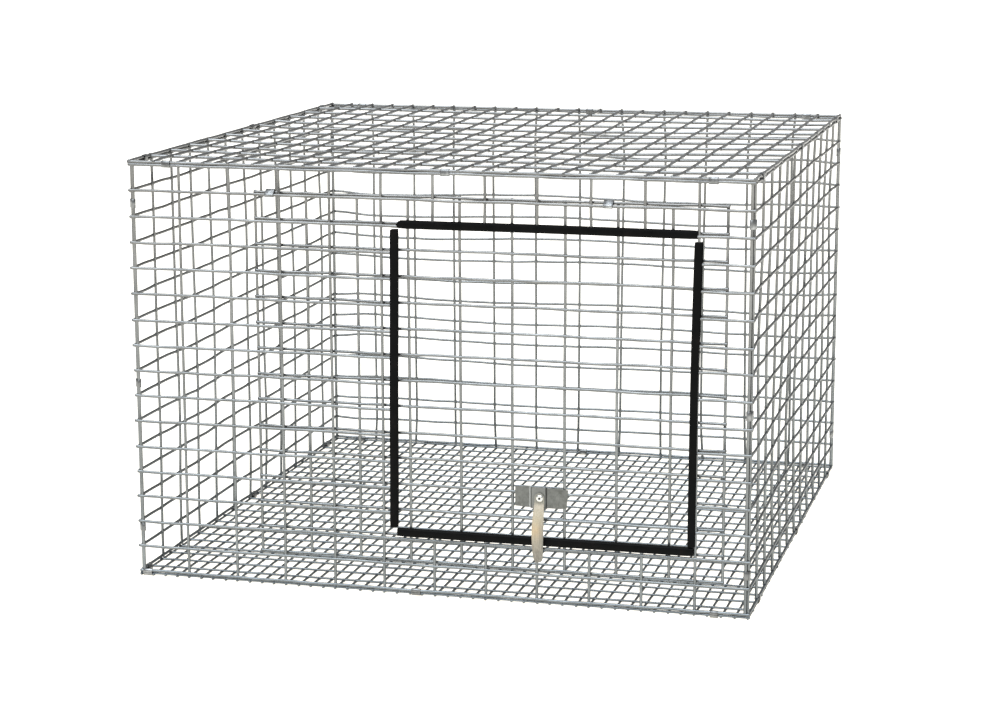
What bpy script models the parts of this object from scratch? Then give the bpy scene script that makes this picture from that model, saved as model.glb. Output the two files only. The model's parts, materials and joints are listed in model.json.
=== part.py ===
"""Wire kennel cage: six welded-mesh panels, a top-hung door inside the front panel, and a turn latch.

Z is up and the front faces -Y. The origin is on the standing surface, under the middle of the cage.
Each mesh panel is a flat lattice of bars. A bar is as wide as one wire and as deep as two crossed wires.
The front and the door have every wire of the real mesh; the other panels leave out the wires between.
"""
import math

import bmesh
import bpy
from mathutils import Matrix, Vector

MM = 0.001
INCH = 25.4

# Overall cage, measured between the centres of its edge wires, in millimetres.
WIDTH = 24 * INCH
DEPTH = 24 * INCH
HEIGHT = 16 * INCH

# Welded mesh.
WIRE = 2.5
SHEET = 3.4
PITCH = 2 * INCH
FINE_PITCH = INCH
GAP = 0.15

# Wrap-round clips that join two parallel edge wires.
CLIP_LENGTH = 9.5
CLIP_WALL = 0.8
CLIP_PLAY = 0.35
CLIP_SLOT = 1.4
CLIP_CHAMFER = 0.9

# Clip places in inches: along each edge from its middle, and down each post from the walls' top wire.
# Every one lies between two crossing wires, which stand an inch apart, or half an inch on the floor.
EDGE_CLIP_INCHES = {
    "top_front": (-10.5, 0.5, 10.5), "top_back": (-10.5, 0.5, 10.5),
    "top_left": (-10.5, 1.25, 10.5), "top_right": (-10.5, -0.5, 10.5),
    "floor_front": (-11.735, -0.75, 10.75), "floor_back": (-10.75, 0.25, 10.75),
    "floor_left": (-11.25, 0.5, 10.5), "floor_right": (-9.6, 0.5, 10.5),
}
POST_CLIP_INCHES = {
    "front_left": (1.5, 8.5, 14.25), "front_right": (1.5, 8.5, 14.5),
    "back_left": (1.5, 14.5), "back_right": (1.5, 14.5),
}

# Levels.
BASE = CLIP_WALL + CLIP_PLAY
FLOOR_Z = BASE + SHEET / 2
WALL_BOTTOM = BASE + SHEET + GAP + WIRE / 2
WALL_TOP = WALL_BOTTOM + HEIGHT
ROOF_Z = WALL_TOP + WIRE / 2 + GAP + SHEET / 2

# Walls: the side panels stand between the front and back panels.
FRONT_Y = -DEPTH / 2
SIDE_X = WIDTH / 2
SIDE_HALF = DEPTH / 2 - SHEET / 2 - GAP - WIRE / 2

# Doorway: bounded by the sixth and twelfth upright and the third and fifteenth cross wire.
DOORWAY_LEFT = -WIDTH / 2 + 5 * PITCH
DOORWAY_RIGHT = -WIDTH / 2 + 11 * PITCH
DOORWAY_TOP = WALL_TOP - 2 * INCH
DOORWAY_BOTTOM = WALL_TOP - 14 * INCH

# Edge guards: plastic channels pushed over the cut wire ends round the doorway.
GUARD_WIDTH = 8.0
GUARD_THICK = 5.8
GUARD_WALL = 0.95
GUARD_ROUND = 0.7
GUARD_INSET = {"left": 12.0, "right": 2.5, "bottom": 7.0, "top": -1.65}
GUARD_CORNER_GAP = 0.5
TOP_GUARD_ENDS = (-35.5, 252.5)
BOTTOM_GUARD_ENDS = (-37.0, 252.5)
RIGHT_GUARD_DROP = 2.5

# Door: hangs from the front panel's second cross wire and rests behind the guards. It laps the
# doorway by an inch on its right and by five inches on its left.
DOOR_WIDTH = 18 * INCH
DOOR_HEIGHT = 14 * INCH
DOOR_X = DOORWAY_RIGHT + INCH - DOOR_WIDTH / 2
DOOR_Y = FRONT_Y + GUARD_THICK / 2 + 0.3 + SHEET / 2
HINGE_WIRE_Z = WALL_TOP - INCH
DOOR_TOP = HINGE_WIRE_Z + 2.6
HINGE_CLIP_X = (-162.0, 168.5)
HINGE_CLIP_BORE = 2.6

# Latch on the door.
PIVOT_X = 104.6
PIVOT_Z = 106.3
PLATE_WIDTH = 53.0
PLATE_OFFSET = 1.5
PLATE_TALL = 21.4
PLATE_THICK = 0.8
CHANNEL_WIDTH = 15.0
CHANNEL_RISE = 2.6
CHANNEL_SLOPE = 1.6
BACK_PLATE_WIDTH = 42.0
BACK_PLATE_TALL = 15.0
RIVET_RADIUS = 1.6
RIVET_HOLE = 2.0
RIVET_HEAD = 3.5
RIVET_TAIL = 2.7
LEVER_THICK = 1.0
LEVER_ABOVE = 5.0
LEVER_BELOW = 61.0
LEVER_BOW = 4.6
LEVER_LEAN = 2.6

GALVANISED = (0.52, 0.53, 0.52)
DARK_ZINC = (0.40, 0.41, 0.42)
SHEET_ZINC = (0.60, 0.60, 0.58)
LEVER_METAL = (0.62, 0.58, 0.50)
BLACK_PLASTIC = (0.012, 0.012, 0.013)

# How (along, up, through) maps to world axes for each kind of panel.
FACING_Y = Matrix(((1, 0, 0), (0, 0, 1), (0, 1, 0)))
FACING_X = Matrix(((0, 0, 1), (1, 0, 0), (0, 1, 0)))
FACING_Z = Matrix(((1, 0, 0), (0, 1, 0), (0, 0, 1)))


def clear_scene():
    """Remove every object already in the scene."""
    for item in list(bpy.data.objects):
        bpy.data.objects.remove(item, do_unlink=True)


def finish(name, colour, roughness, metallic):
    """Make a Principled material."""
    material = bpy.data.materials.new(name)
    material.use_nodes = True
    shader = material.node_tree.nodes["Principled BSDF"]
    shader.inputs["Base Color"].default_value = (*colour, 1.0)
    shader.inputs["Roughness"].default_value = roughness
    shader.inputs["Metallic"].default_value = metallic
    return material


def add_object(name, mesh_edit, material, origin=(0.0, 0.0, 0.0)):
    """Turn millimetre geometry into a named object in metres, with its origin at a point."""
    bmesh.ops.remove_doubles(mesh_edit, verts=mesh_edit.verts, dist=1e-4)
    bmesh.ops.recalc_face_normals(mesh_edit, faces=mesh_edit.faces)
    shift = Vector(origin)
    for vertex in mesh_edit.verts:
        vertex.co = (vertex.co - shift) * MM
    mesh = bpy.data.meshes.new(name)
    mesh_edit.to_mesh(mesh)
    mesh_edit.free()
    mesh.materials.append(material)
    item = bpy.data.objects.new(name, mesh)
    item.location = shift * MM
    bpy.context.scene.collection.objects.link(item)
    return item


def steps(start, stop, pitch):
    """Evenly pitched positions from start to stop, both included."""
    count = round((stop - start) / pitch)
    return [start + (stop - start) * index / count for index in range(count + 1)]


def lattice(name, uprights, crossbars, facing, through, material, origin=(0.0, 0.0, 0.0)):
    """One welded body from bars in a plane.

    An upright is (along, low, high) and a crossbar is (up, left, right), by the bar's centre line.
    """
    half = WIRE / 2
    boxes = [(a - half, a + half, low, high) for a, low, high in uprights]
    boxes += [(left, right, u - half, u + half) for u, left, right in crossbars]
    across = sorted({round(value, 4) for box in boxes for value in box[:2]})
    up = sorted({round(value, 4) for box in boxes for value in box[2:]})

    filled = set()
    for left, right, low, high in boxes:
        columns = range(across.index(round(left, 4)), across.index(round(right, 4)))
        rows = range(up.index(round(low, 4)), up.index(round(high, 4)))
        filled.update((column, row) for column in columns for row in rows)

    mesh_edit = bmesh.new()
    corners = {}

    def corner(column, row, side):
        key = (column, row, side)
        if key not in corners:
            place = facing @ Vector((across[column], up[row], through + side * SHEET / 2))
            corners[key] = mesh_edit.verts.new(place)
        return corners[key]

    for column, row in filled:
        ring = ((column, row), (column + 1, row), (column + 1, row + 1), (column, row + 1))
        for side in (-1, 1):
            mesh_edit.faces.new([corner(*point, side) for point in ring])
        beyond = ((column, row - 1), (column + 1, row), (column, row + 1), (column - 1, row))
        for index, neighbour in enumerate(beyond):
            if neighbour not in filled:
                first, second = ring[index], ring[(index + 1) % 4]
                mesh_edit.faces.new(
                    (corner(*first, -1), corner(*second, -1), corner(*second, 1), corner(*first, 1))
                )
    return add_object(name, mesh_edit, material, origin)


def prism(outline, start, stop, place):
    """Extrude a closed outline of (a, b) points from start to stop; place maps (a, b, t) to world."""
    mesh_edit = bmesh.new()
    ends = [[mesh_edit.verts.new(place(a, b, t)) for a, b in outline] for t in (start, stop)]
    for ring in ends:
        mesh_edit.faces.new(ring)
    count = len(outline)
    for index in range(count):
        after = (index + 1) % count
        mesh_edit.faces.new((ends[0][index], ends[0][after], ends[1][after], ends[1][index]))
    return mesh_edit


def full_grid(low_a, high_a, low_b, high_b, pitch_b=PITCH):
    """Uprights and crossbars of an unbroken panel."""
    half = WIRE / 2
    uprights = [(a, low_b - half, high_b + half) for a in steps(low_a, high_a, PITCH)]
    crossbars = [(b, low_a - half, high_a + half) for b in steps(low_b, high_b, pitch_b)]
    return uprights, crossbars


def stub_reach(side):
    """How far a cut wire end stands into the doorway, so that it stops inside its guard."""
    return max(GUARD_INSET[side] + GUARD_WIDTH / 2 - GUARD_WALL - CLIP_PLAY, WIRE / 2)


def front_panel(material):
    """Front wall with the doorway cut out of it, leaving short wire ends for the guards."""
    half = WIRE / 2
    low, high = WALL_BOTTOM - half, WALL_TOP + half
    uprights = []
    for x in steps(-SIDE_X, SIDE_X, PITCH):
        if DOORWAY_LEFT + half < x < DOORWAY_RIGHT - half:
            uprights.append((x, low, DOORWAY_BOTTOM + stub_reach("bottom")))
            uprights.append((x, DOORWAY_TOP, high))
        else:
            uprights.append((x, low, high))
    crossbars = []
    for z in steps(WALL_BOTTOM, WALL_TOP, FINE_PITCH):
        if DOORWAY_BOTTOM + half < z < DOORWAY_TOP - half:
            crossbars.append((z, -SIDE_X - half, DOORWAY_LEFT + stub_reach("left")))
            crossbars.append((z, DOORWAY_RIGHT - stub_reach("right"), SIDE_X + half))
        else:
            crossbars.append((z, -SIDE_X - half, SIDE_X + half))
    lattice("front_panel", uprights, crossbars, FACING_Y, FRONT_Y, material, (0, FRONT_Y, 0))


def plain_panels(material):
    """Back, sides, roof and floor."""
    wall = full_grid(-SIDE_X, SIDE_X, WALL_BOTTOM, WALL_TOP)
    lattice("back_panel", *wall, FACING_Y, -FRONT_Y, material, (0, -FRONT_Y, 0))
    side = full_grid(-SIDE_HALF, SIDE_HALF, WALL_BOTTOM, WALL_TOP)
    lattice("left_panel", *side, FACING_X, -SIDE_X, material, (-SIDE_X, 0, 0))
    lattice("right_panel", *side, FACING_X, SIDE_X, material, (SIDE_X, 0, 0))
    flat = full_grid(-SIDE_X, SIDE_X, FRONT_Y, -FRONT_Y)
    lattice("top_panel", *flat, FACING_Z, ROOF_Z, material, (0, 0, ROOF_Z))
    lattice("floor_panel", *flat, FACING_Z, FLOOR_Z, material, (0, 0, FLOOR_Z))


def door_panel(material):
    """Door of the wall's mesh, hung by its top wire."""
    half = DOOR_WIDTH / 2
    grid = full_grid(DOOR_X - half, DOOR_X + half, DOOR_TOP - DOOR_HEIGHT, DOOR_TOP, FINE_PITCH)
    lattice("door_panel", *grid, FACING_Y, DOOR_Y, material, (DOOR_X, DOOR_Y, DOOR_TOP))


def guard(name, side, start, stop, material):
    """A U-shaped channel: its web faces the middle of the doorway, its mouth takes the wire ends."""
    half = GUARD_THICK / 2
    wall = GUARD_WALL
    outline = (
        (GUARD_ROUND, -half), (GUARD_WIDTH, -half), (GUARD_WIDTH, wall - half), (wall, wall - half),
        (wall, half - wall), (GUARD_WIDTH, half - wall), (GUARD_WIDTH, half), (GUARD_ROUND, half),
        (0.0, half - GUARD_ROUND), (0.0, GUARD_ROUND - half),
    )
    web = GUARD_INSET[side] + GUARD_WIDTH / 2
    places = {
        "left": lambda a, b, t: (DOORWAY_LEFT + web - a, FRONT_Y + b, t),
        "right": lambda a, b, t: (DOORWAY_RIGHT - web + a, FRONT_Y + b, t),
        "bottom": lambda a, b, t: (t, FRONT_Y + b, DOORWAY_BOTTOM + web - a),
        "top": lambda a, b, t: (t, FRONT_Y + b, DOORWAY_TOP - web + a),
    }
    add_object(name, prism(outline, start, stop, places[side]), material)


def guards(material):
    """Four separate strips that meet at the doorway's corners."""
    top_edge = DOORWAY_TOP - GUARD_INSET["top"] - GUARD_WIDTH / 2
    bottom_edge = DOORWAY_BOTTOM + GUARD_INSET["bottom"] + GUARD_WIDTH / 2
    low = bottom_edge + GUARD_CORNER_GAP
    guard("door_guard_top", "top", *TOP_GUARD_ENDS, material)
    guard("door_guard_bottom", "bottom", *BOTTOM_GUARD_ENDS, material)
    guard("door_guard_left", "left", low, top_edge - GUARD_CORNER_GAP, material)
    guard("door_guard_right", "right", low, top_edge - RIGHT_GUARD_DROP, material)


def clip_outline(long_half, short_half):
    """Slotted ring round a rectangle, with its slot in the middle of the +a side."""
    slot = CLIP_SLOT / 2
    outer_a = short_half + CLIP_WALL
    outer_b = long_half + CLIP_WALL
    cut = CLIP_CHAMFER
    outer = [
        (outer_a, slot), (outer_a, outer_b - cut), (outer_a - cut, outer_b),
        (cut - outer_a, outer_b), (-outer_a, outer_b - cut),
        (-outer_a, cut - outer_b), (cut - outer_a, -outer_b),
        (outer_a - cut, -outer_b), (outer_a, cut - outer_b), (outer_a, -slot),
    ]
    inner = [
        (short_half, -slot), (short_half, -long_half), (-short_half, -long_half),
        (-short_half, long_half), (short_half, long_half), (short_half, slot),
    ]
    return outer + inner


def edge_clip(name, centre, inward, stack, along, material):
    """Clip round two stacked edge bars: inward points into the cage, stack from bar to bar."""
    middle, inward, stack, along = Vector(centre), Vector(inward), Vector(stack), Vector(along)
    long_half = (WIRE + GAP + SHEET) / 2 + CLIP_PLAY
    short_half = SHEET / 2 + CLIP_PLAY
    outline = clip_outline(long_half, short_half)
    mesh_edit = prism(
        outline, -CLIP_LENGTH / 2, CLIP_LENGTH / 2,
        lambda a, b, t: middle + inward * a + stack * b + along * t,
    )
    add_object(name, mesh_edit, material, middle)


def edge_clips(material):
    """Clips along the four roof edges, the four floor edges and the four corner posts."""
    span = (WIRE + GAP + SHEET) / 2
    roof_level = ROOF_Z + SHEET / 2 - span
    floor_level = FLOOR_Z - SHEET / 2 + span
    sides = {
        "front": ((0, FRONT_Y), (0, 1, 0), (1, 0, 0)),
        "back": ((0, -FRONT_Y), (0, -1, 0), (1, 0, 0)),
        "left": ((-SIDE_X, 0), (1, 0, 0), (0, 1, 0)),
        "right": ((SIDE_X, 0), (-1, 0, 0), (0, 1, 0)),
    }
    for level_name, level in (("top", roof_level), ("floor", floor_level)):
        for side_name, (spot, inward, along) in sides.items():
            edge_name = f"{level_name}_{side_name}"
            for number, inches in enumerate(EDGE_CLIP_INCHES[edge_name], 1):
                centre = Vector((*spot, level)) + Vector(along) * (inches * INCH)
                name = f"{edge_name}_clip_{number}"
                edge_clip(name, centre, inward, (0, 0, 1), along, material)
    post_y = DEPTH / 2 + SHEET / 2 - span
    for side_x, x_name in ((-1, "left"), (1, "right")):
        for side_y, y_name in ((-1, "front"), (1, "back")):
            post_name = f"{y_name}_{x_name}"
            for number, inches in enumerate(POST_CLIP_INCHES[post_name], 1):
                centre = (side_x * SIDE_X, side_y * post_y, WALL_TOP - inches * INCH)
                name = f"post_{post_name}_clip_{number}"
                edge_clip(name, centre, (-side_x, 0, 0), (0, side_y, 0), (0, 0, 1), material)


def hinge_clips(material):
    """Round clips that let the door's top wire turn beside the front panel's second cross wire."""
    fixed = Vector((FRONT_Y, HINGE_WIRE_Z))
    turning = Vector((DOOR_Y, DOOR_TOP))
    run = (turning - fixed).normalized()
    heading = math.atan2(run.y, run.x)
    bend = math.pi / 3

    def arc(centre, start, radius):
        angles = [start + bend * index for index in range(4)]
        return [centre + radius * Vector((math.cos(angle), math.sin(angle))) for angle in angles]

    outer_radius = HINGE_CLIP_BORE + CLIP_WALL
    below = Vector((run.y, -run.x))
    slot_start = fixed + run * 1.6
    slot_end = slot_start + run * CLIP_SLOT
    outer = [slot_end + below * outer_radius]
    outer += arc(turning, heading - math.pi / 2, outer_radius)
    outer += arc(fixed, heading + math.pi / 2, outer_radius)
    outer += [slot_start + below * outer_radius]
    inner = [slot_start + below * HINGE_CLIP_BORE]
    inner += reversed(arc(fixed, heading + math.pi / 2, HINGE_CLIP_BORE))
    inner += reversed(arc(turning, heading - math.pi / 2, HINGE_CLIP_BORE))
    inner += [slot_end + below * HINGE_CLIP_BORE]
    outline = [tuple(point) for point in outer + inner]
    for number, x in enumerate(HINGE_CLIP_X, 1):
        mesh_edit = prism(
            outline, x - CLIP_LENGTH / 2, x + CLIP_LENGTH / 2, lambda a, b, t: (t, a, b)
        )
        add_object(f"hinge_clip_{number}", mesh_edit, material, (x, FRONT_Y, HINGE_WIRE_Z))


def round_rod(levels, sides=16):
    """A turned piece along Y at the pivot, from (y, radius) levels."""
    mesh_edit = bmesh.new()
    rings = []
    for y, radius in levels:
        ring = []
        for index in range(sides):
            angle = math.tau * index / sides
            x = PIVOT_X + radius * math.cos(angle)
            z = PIVOT_Z + radius * math.sin(angle)
            ring.append(mesh_edit.verts.new((x, y, z)))
        rings.append(ring)
    for lower, upper in zip(rings, rings[1:]):
        for index in range(sides):
            after = (index + 1) % sides
            mesh_edit.faces.new((lower[index], lower[after], upper[after], upper[index]))
    mesh_edit.faces.new(rings[0])
    mesh_edit.faces.new(rings[-1])
    return mesh_edit


def drill(item, radius):
    """Cut the rivet's clearance hole through a piece, along Y at the pivot."""
    reach = 40.0
    mesh_edit = round_rod(((FRONT_Y - reach, radius), (FRONT_Y + reach, radius)))
    cutter = add_object(f"{item.name}_hole", mesh_edit, item.data.materials[0])
    cutter.hide_render = True
    cutter.display_type = "WIRE"
    cut = item.modifiers.new("rivet_hole", "BOOLEAN")
    cut.operation = "DIFFERENCE"
    cut.object = cutter


def plate_front():
    """The Y of the flat wings' front face."""
    return DOOR_Y - SHEET / 2 - CLIP_PLAY - PLATE_THICK


def latch_plates(material):
    """Pressed front plate with a raised middle channel, and the strip behind the door's wires."""
    wing = PLATE_WIDTH / 2
    foot = CHANNEL_WIDTH / 2
    brow = foot - CHANNEL_SLOPE
    rise = CHANNEL_RISE
    thick = PLATE_THICK
    lean = thick * 0.5
    outline = (
        (-wing, 0.0), (-foot - PLATE_OFFSET, 0.0), (-brow - PLATE_OFFSET, rise),
        (brow - PLATE_OFFSET, rise), (foot - PLATE_OFFSET, 0.0), (wing, 0.0),
        (wing, -thick), (foot - PLATE_OFFSET - lean, -thick), (brow - PLATE_OFFSET - lean, rise - thick),
        (lean - brow - PLATE_OFFSET, rise - thick), (lean - foot - PLATE_OFFSET, -thick), (-wing, -thick),
    )
    face = plate_front()
    middle_x = PIVOT_X + PLATE_OFFSET
    mesh_edit = prism(
        outline, PIVOT_Z - PLATE_TALL / 2, PIVOT_Z + PLATE_TALL / 2,
        lambda a, b, t: (middle_x + a, face - b, t),
    )
    drill(add_object("latch_plate", mesh_edit, material, (PIVOT_X, face, PIVOT_Z)), RIVET_HOLE)

    back = DOOR_Y + SHEET / 2 + CLIP_PLAY
    half = BACK_PLATE_WIDTH / 2
    strip = ((-half, 0.0), (half, 0.0), (half, thick), (-half, thick))
    mesh_edit = prism(
        strip, PIVOT_Z - BACK_PLATE_TALL / 2, PIVOT_Z + BACK_PLATE_TALL / 2,
        lambda a, b, t: (PIVOT_X + a, back + b, t),
    )
    drill(add_object("latch_back_plate", mesh_edit, material, (PIVOT_X, back, PIVOT_Z)), RIVET_HOLE)


def latch_rivet(material):
    """Rivet through lever, plate and back strip, with its set tail behind the door."""
    lever_front = plate_front() - CHANNEL_RISE - CLIP_PLAY - LEVER_THICK
    head = lever_front - CLIP_PLAY
    tail = DOOR_Y + SHEET / 2 + CLIP_PLAY + PLATE_THICK + CLIP_PLAY
    levels = (
        (head - 1.5, RIVET_HEAD * 0.45), (head - 1.1, RIVET_HEAD * 0.8), (head - 0.4, RIVET_HEAD),
        (head, RIVET_HEAD), (head, RIVET_RADIUS), (tail, RIVET_RADIUS),
        (tail, RIVET_TAIL), (tail + 0.9, RIVET_TAIL * 0.85),
    )
    add_object("latch_rivet", round_rod(levels), material, (PIVOT_X, head, PIVOT_Z))


def latch_lever(material):
    """Sprung strip that hangs from the rivet, bows away from the cage and ends over the guard."""
    face = plate_front() - CHANNEL_RISE - CLIP_PLAY - LEVER_THICK / 2
    flat = LEVER_ABOVE
    count = 10
    stations = [(-LEVER_ABOVE, 2.6), (-LEVER_ABOVE * 0.72, 4.2), (-LEVER_ABOVE * 0.3, 5.0)]
    for index in range(count + 1):
        share = index / count
        below = flat + (LEVER_BELOW - flat) * share
        half_width = 5.0 + 1.5 * math.sin(math.pi * min(share * 1.15, 1.0)) - 0.9 * share
        stations.append((below, half_width))
    stations.append((LEVER_BELOW + 1.2, 2.6))

    mesh_edit = bmesh.new()
    rings = []
    for below, half_width in stations:
        share = min(max((below - flat) / (LEVER_BELOW - flat), 0.0), 1.0)
        out = LEVER_BOW * math.sin(math.pi * share) ** 0.9 + LEVER_LEAN * share
        ring = []
        for side_x, side_y in ((-1, -1), (1, -1), (1, 1), (-1, 1)):
            x = PIVOT_X + side_x * half_width
            y = face - out + side_y * LEVER_THICK / 2
            ring.append(mesh_edit.verts.new((x, y, PIVOT_Z - below)))
        rings.append(ring)
    for upper, lower in zip(rings, rings[1:]):
        for index in range(4):
            after = (index + 1) % 4
            mesh_edit.faces.new((upper[index], upper[after], lower[after], lower[index]))
    mesh_edit.faces.new(rings[0])
    mesh_edit.faces.new(rings[-1])
    lever = add_object("latch_lever", mesh_edit, material, (PIVOT_X, face, PIVOT_Z))
    drill(lever, RIVET_HOLE)


def main():
    clear_scene()
    wire = finish("galvanised_wire", GALVANISED, 0.45, 0.85)
    zinc = finish("clip_steel", DARK_ZINC, 0.40, 0.9)
    sheet = finish("galvanised_sheet", SHEET_ZINC, 0.42, 0.85)
    front_panel(wire)
    plain_panels(wire)
    door_panel(wire)
    guards(finish("black_plastic", BLACK_PLASTIC, 0.55, 0.0))
    edge_clips(zinc)
    hinge_clips(zinc)
    latch_plates(sheet)
    latch_rivet(finish("rivet_steel", SHEET_ZINC, 0.30, 0.9))
    latch_lever(finish("lever_metal", LEVER_METAL, 0.35, 0.8))


main()
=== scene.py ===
import json
import math
import random

import bmesh
import bpy
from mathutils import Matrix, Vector


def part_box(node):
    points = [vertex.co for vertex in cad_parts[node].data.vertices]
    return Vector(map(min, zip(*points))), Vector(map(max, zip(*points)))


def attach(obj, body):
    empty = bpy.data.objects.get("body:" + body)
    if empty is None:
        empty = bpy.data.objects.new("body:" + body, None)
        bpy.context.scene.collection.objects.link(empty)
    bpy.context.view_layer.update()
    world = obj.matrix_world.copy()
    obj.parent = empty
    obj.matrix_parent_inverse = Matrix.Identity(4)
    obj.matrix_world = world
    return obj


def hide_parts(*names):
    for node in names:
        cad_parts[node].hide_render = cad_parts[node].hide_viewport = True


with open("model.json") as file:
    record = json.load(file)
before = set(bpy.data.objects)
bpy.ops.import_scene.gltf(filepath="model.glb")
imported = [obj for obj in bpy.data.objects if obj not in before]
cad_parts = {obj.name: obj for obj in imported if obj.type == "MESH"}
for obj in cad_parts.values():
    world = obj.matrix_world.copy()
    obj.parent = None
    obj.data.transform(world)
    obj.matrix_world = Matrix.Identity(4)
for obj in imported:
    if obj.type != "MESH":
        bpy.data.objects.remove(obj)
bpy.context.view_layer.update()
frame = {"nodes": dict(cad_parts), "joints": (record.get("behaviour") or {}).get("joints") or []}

MM = 0.001
INCH = 0.0254

# Wires, drawn where the CAD has bars 2.5 mm wide. The radii are what looks as thick as in the photograph.
# LAYER is how far a panel's two layers stand off its middle: less than a radius, so they bite into each
# other where they are welded, further than real welds do.
BAR_HALF = 1.25 * MM
WIRE_RADIUS = 1.5 * MM
ROOF_RADIUS = 1.62 * MM
FLOOR_RADIUS = 1.2 * MM
LAYER = 0.45 * MM
WIRE_SIDES = 8
WIRE_BEVEL = 0.3 * MM
CUT_SIZE = 0.78

# Welds: half their length, how far the wire swells there, and how large and how common a lump is.
WELD_HALF = 2.0 * MM
WELD_SWELL = (1.06, 1.22)
WELD_LUMP = 1.4
LUMP_SHARE = 0.05

# How far one wire strays: sideways as a whole, and between two welds further apart than LONG_BAY.
WIRE_SHIFT = 0.5 * MM
SWAY = 0.55 * MM
LONG_BAY = 1.5 * INCH

# A panel's wander: how far from its rim it reaches full size, the shortest and longest wave in metres
# along, up and out, what a sum of waves is divided by, and how much of an outward bulge is kept.
WARP_REACH = 40 * MM
WAVE_LENGTHS = ((0.14, 0.40), (0.14, 0.40), (0.18, 0.45))
WAVE_COUNT = 3
WAVE_SUM = 2.2
OUTWARD_SHARE = 0.25

# Where the front panel's edge wires stand, from the CAD's.
FRONT_EDGE_SHIFT = {"left": 3.0 * MM, "right": -2.6 * MM}

# Least and most reach of cut wire ends past the panel's last wire, in millimetres.
FLUSH_ENDS = (1.0, 1.2)
FRONT_ENDS = (1.2, 2.4)
PROUD_ENDS = (1.3, 2.5)
ROOF_FRONT_ENDS, ROOF_BACK_ENDS = (0.9, 1.9), (1.3, 2.6)
FLOOR_FRONT_ENDS, FLOOR_BACK_ENDS = (1.8, 2.7), (1.2, 2.4)
FLOOR_SLANT = 0.6
DOOR_SIDE_ENDS, DOOR_FOOT_ENDS, DOOR_HEAD_ENDS = (1.0, 2.2), (0.9, 1.8), (0.9, 1.9)

# Clips: the radius of a fold round a wire, the bevel of its ends, and the gap at its seam.
CLIP_BORE = 1.52 * MM
CLIP_BEVEL = 0.22 * MM
CLIP_SEAM = 0.35 * MM

# Guards, in millimetres: a rounded U with walls of GUARD_WALL, GUARD_WIDTH from its web to its mouth.
GUARD_WIDTH = 8.0
GUARD_HALF = 2.9
GUARD_WALL = 0.95
GUARD_NOSE = 1.7
GUARD_LIP = 0.3

# How far each guard strays sideways at its two ends, in millimetres, and how late it does so.
GUARD_LEAN = {
    "left": (-1.3, 1.5, 1.0), "right": (-0.9, 2.2, 2.0), "top": (0.0, 0.0, 1.0), "bottom": (0.0, 0.0, 1.0),
}

# Stage. The studio floor glows enough to stay white under the cage's shadow. CAMERA_TURN is in degrees.
STUDIO_HALF = 60.0
STUDIO_GLOW = 1.21
STUDIO_TINT = (1.0, 0.945, 0.83, 1.0)
WORLD_STRENGTH = 0.5
LAMP_HEADING, LAMP_HEIGHT, LAMP_SPREAD = math.radians(-15), math.radians(72), math.radians(80)
LAMP_STRENGTH = 5.65
LAMP_COLOUR = (0.94, 1.0, 1.07)
CAMERA_LENS = 88.1
CAMERA_REACH = 200.0
CAMERA_PLACE = (0.6463, -2.4901, 0.6884)
CAMERA_TURN = (78.74, 0.12, 14.86)

# Two faces that meet at more than this are shaded with an edge between them.
SHARP_ANGLE = math.radians(52)

X, Y, Z = Vector((1, 0, 0)), Vector((0, 1, 0)), Vector((0, 0, 1))


# ---------------------------------------------------------------- meshes

def make_piece(name, points, faces, material, body, replaced, attributes=None):
    """A mesh object in the row frame that rides on a body and stands for CAD nodes."""
    mesh = bpy.data.meshes.new(name)
    mesh.from_pydata([tuple(point) for point in points], [], faces)
    mesh.validate()
    for key, values in (attributes or {}).items():
        layer = mesh.attributes.new(key, "FLOAT", "POINT")
        layer.data.foreach_set("value", values)
    mesh.materials.append(material)
    mesh.shade_smooth()
    mesh.set_sharp_from_angle(angle=SHARP_ANGLE)
    piece = bpy.data.objects.new(name, mesh)
    bpy.context.scene.collection.objects.link(piece)
    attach(piece, body)
    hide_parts(*replaced)
    turn_outward(mesh)
    return piece


def turn_outward(mesh):
    """Point every closed part's faces outward."""
    edit = bmesh.new()
    edit.from_mesh(mesh)
    bmesh.ops.recalc_face_normals(edit, faces=edit.faces)
    edit.to_mesh(mesh)
    edit.free()


def loft(rings, closed_ends=True):
    """Points and faces of a skin through rings of equal length."""
    sides = len(rings[0])
    points = [point for ring in rings for point in ring]
    faces = []
    for index in range(len(rings) - 1):
        base = index * sides
        for side in range(sides):
            after = (side + 1) % sides
            faces.append((base + side, base + after, base + sides + after, base + sides + side))
    if closed_ends:
        faces.append(tuple(range(sides - 1, -1, -1)))
        last = (len(rings) - 1) * sides
        faces.append(tuple(range(last, last + sides)))
    return points, faces


def shell(rings):
    """A skin through rings that each run along an outer line and back along an inner one."""
    points, faces = loft(rings, closed_ends=False)
    count = len(rings[0])
    for start, flip in ((0, False), ((len(rings) - 1) * count, True)):
        for index in range(count // 2 - 1):
            quad = (
                start + index, start + index + 1, start + count - 2 - index, start + count - 1 - index,
            )
            faces.append(quad[::-1] if flip else quad)
    return points, faces


def ease(start, length, spot):
    """How far a spot lies along a run from start, from 0 to 1."""
    return min(max((spot - start) / length, 0.0), 1.0)


def rounded(share):
    """How far the edge of a quarter circle has dropped, 0 at the tangent and 1 at its end."""
    return 1 - math.sqrt(max(0.0, 1 - share * share))


def middle_of(node, axis):
    """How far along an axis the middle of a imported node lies."""
    low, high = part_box(node)
    return (low.dot(axis) + high.dot(axis)) / 2


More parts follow.
